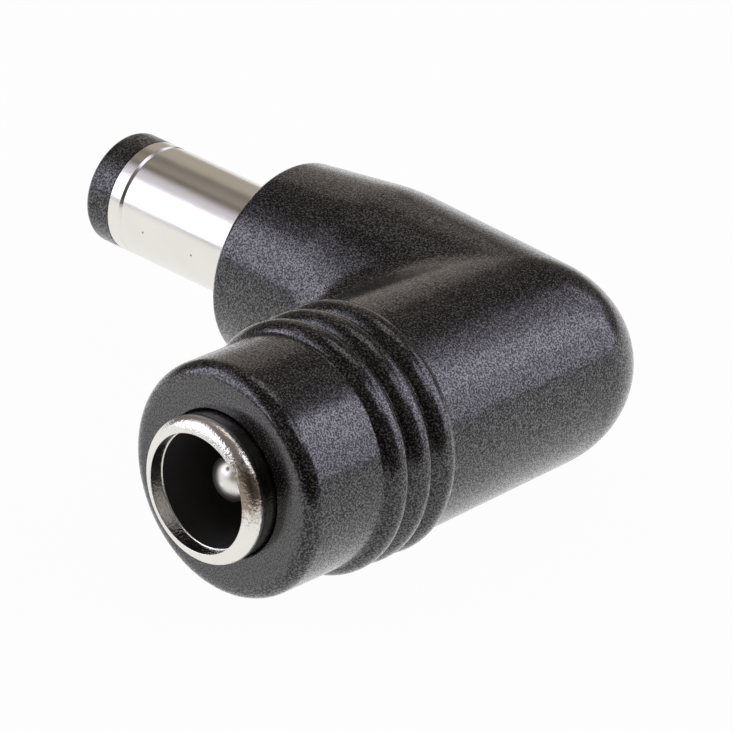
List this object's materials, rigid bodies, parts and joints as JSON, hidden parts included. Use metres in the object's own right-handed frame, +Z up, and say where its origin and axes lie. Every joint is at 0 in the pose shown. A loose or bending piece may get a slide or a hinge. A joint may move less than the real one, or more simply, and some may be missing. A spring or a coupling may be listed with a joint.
{
  "type": "dc barrel adapter",
  "caption": "Right-angle moulded power adapter with a round barrel jack on a ribbed arm and a nickel-plated barrel plug on the other arm.",
  "frame": {"origin": "under the middle of the overall box, on the surface the adapter lies on", "axes": "+Z up; the jack's mouth faces -Y and the plug points along -X"},
  "size_m": [0.0306, 0.0258, 0.012],
  "materials": {
    "black_pvc": "fine satin grain",
    "nickel_plate": "bright plated",
    "black_insulator": "moulded",
    "tinned_brass": "tinned",
    "spring_bronze": "plain",
    "black_nose": "satin",
    "natural_nylon": "moulded",
    "copper": "plain",
    "red_pvc": "plain",
    "black_wire_pvc": "plain",
    "solder": "flowed"
  },
  "bodies": {
    "root": {"body": "black_pvc", "jack_shell": "nickel_plate", "jack_insulator": "black_insulator", "jack_center_pin": "nickel_plate", "jack_pin_lug": "tinned_brass", "jack_sleeve_spring": "spring_bronze", "plug_barrel": "nickel_plate", "plug_tip": "black_nose", "plug_inner_contact": "spring_bronze", "plug_rear_insulator": "natural_nylon", "plug_center_lug": "tinned_brass", "plug_sleeve_lug": "tinned_brass", "center_wire_core": "copper", "center_wire_jacket": "red_pvc", "sleeve_wire_core": "copper", "sleeve_wire_jacket": "black_wire_pvc", "solder_jack_pin": "solder", "solder_jack_sleeve": "solder", "solder_plug_center": "solder", "solder_plug_sleeve": "solder"}
  },
  "joints": []
}
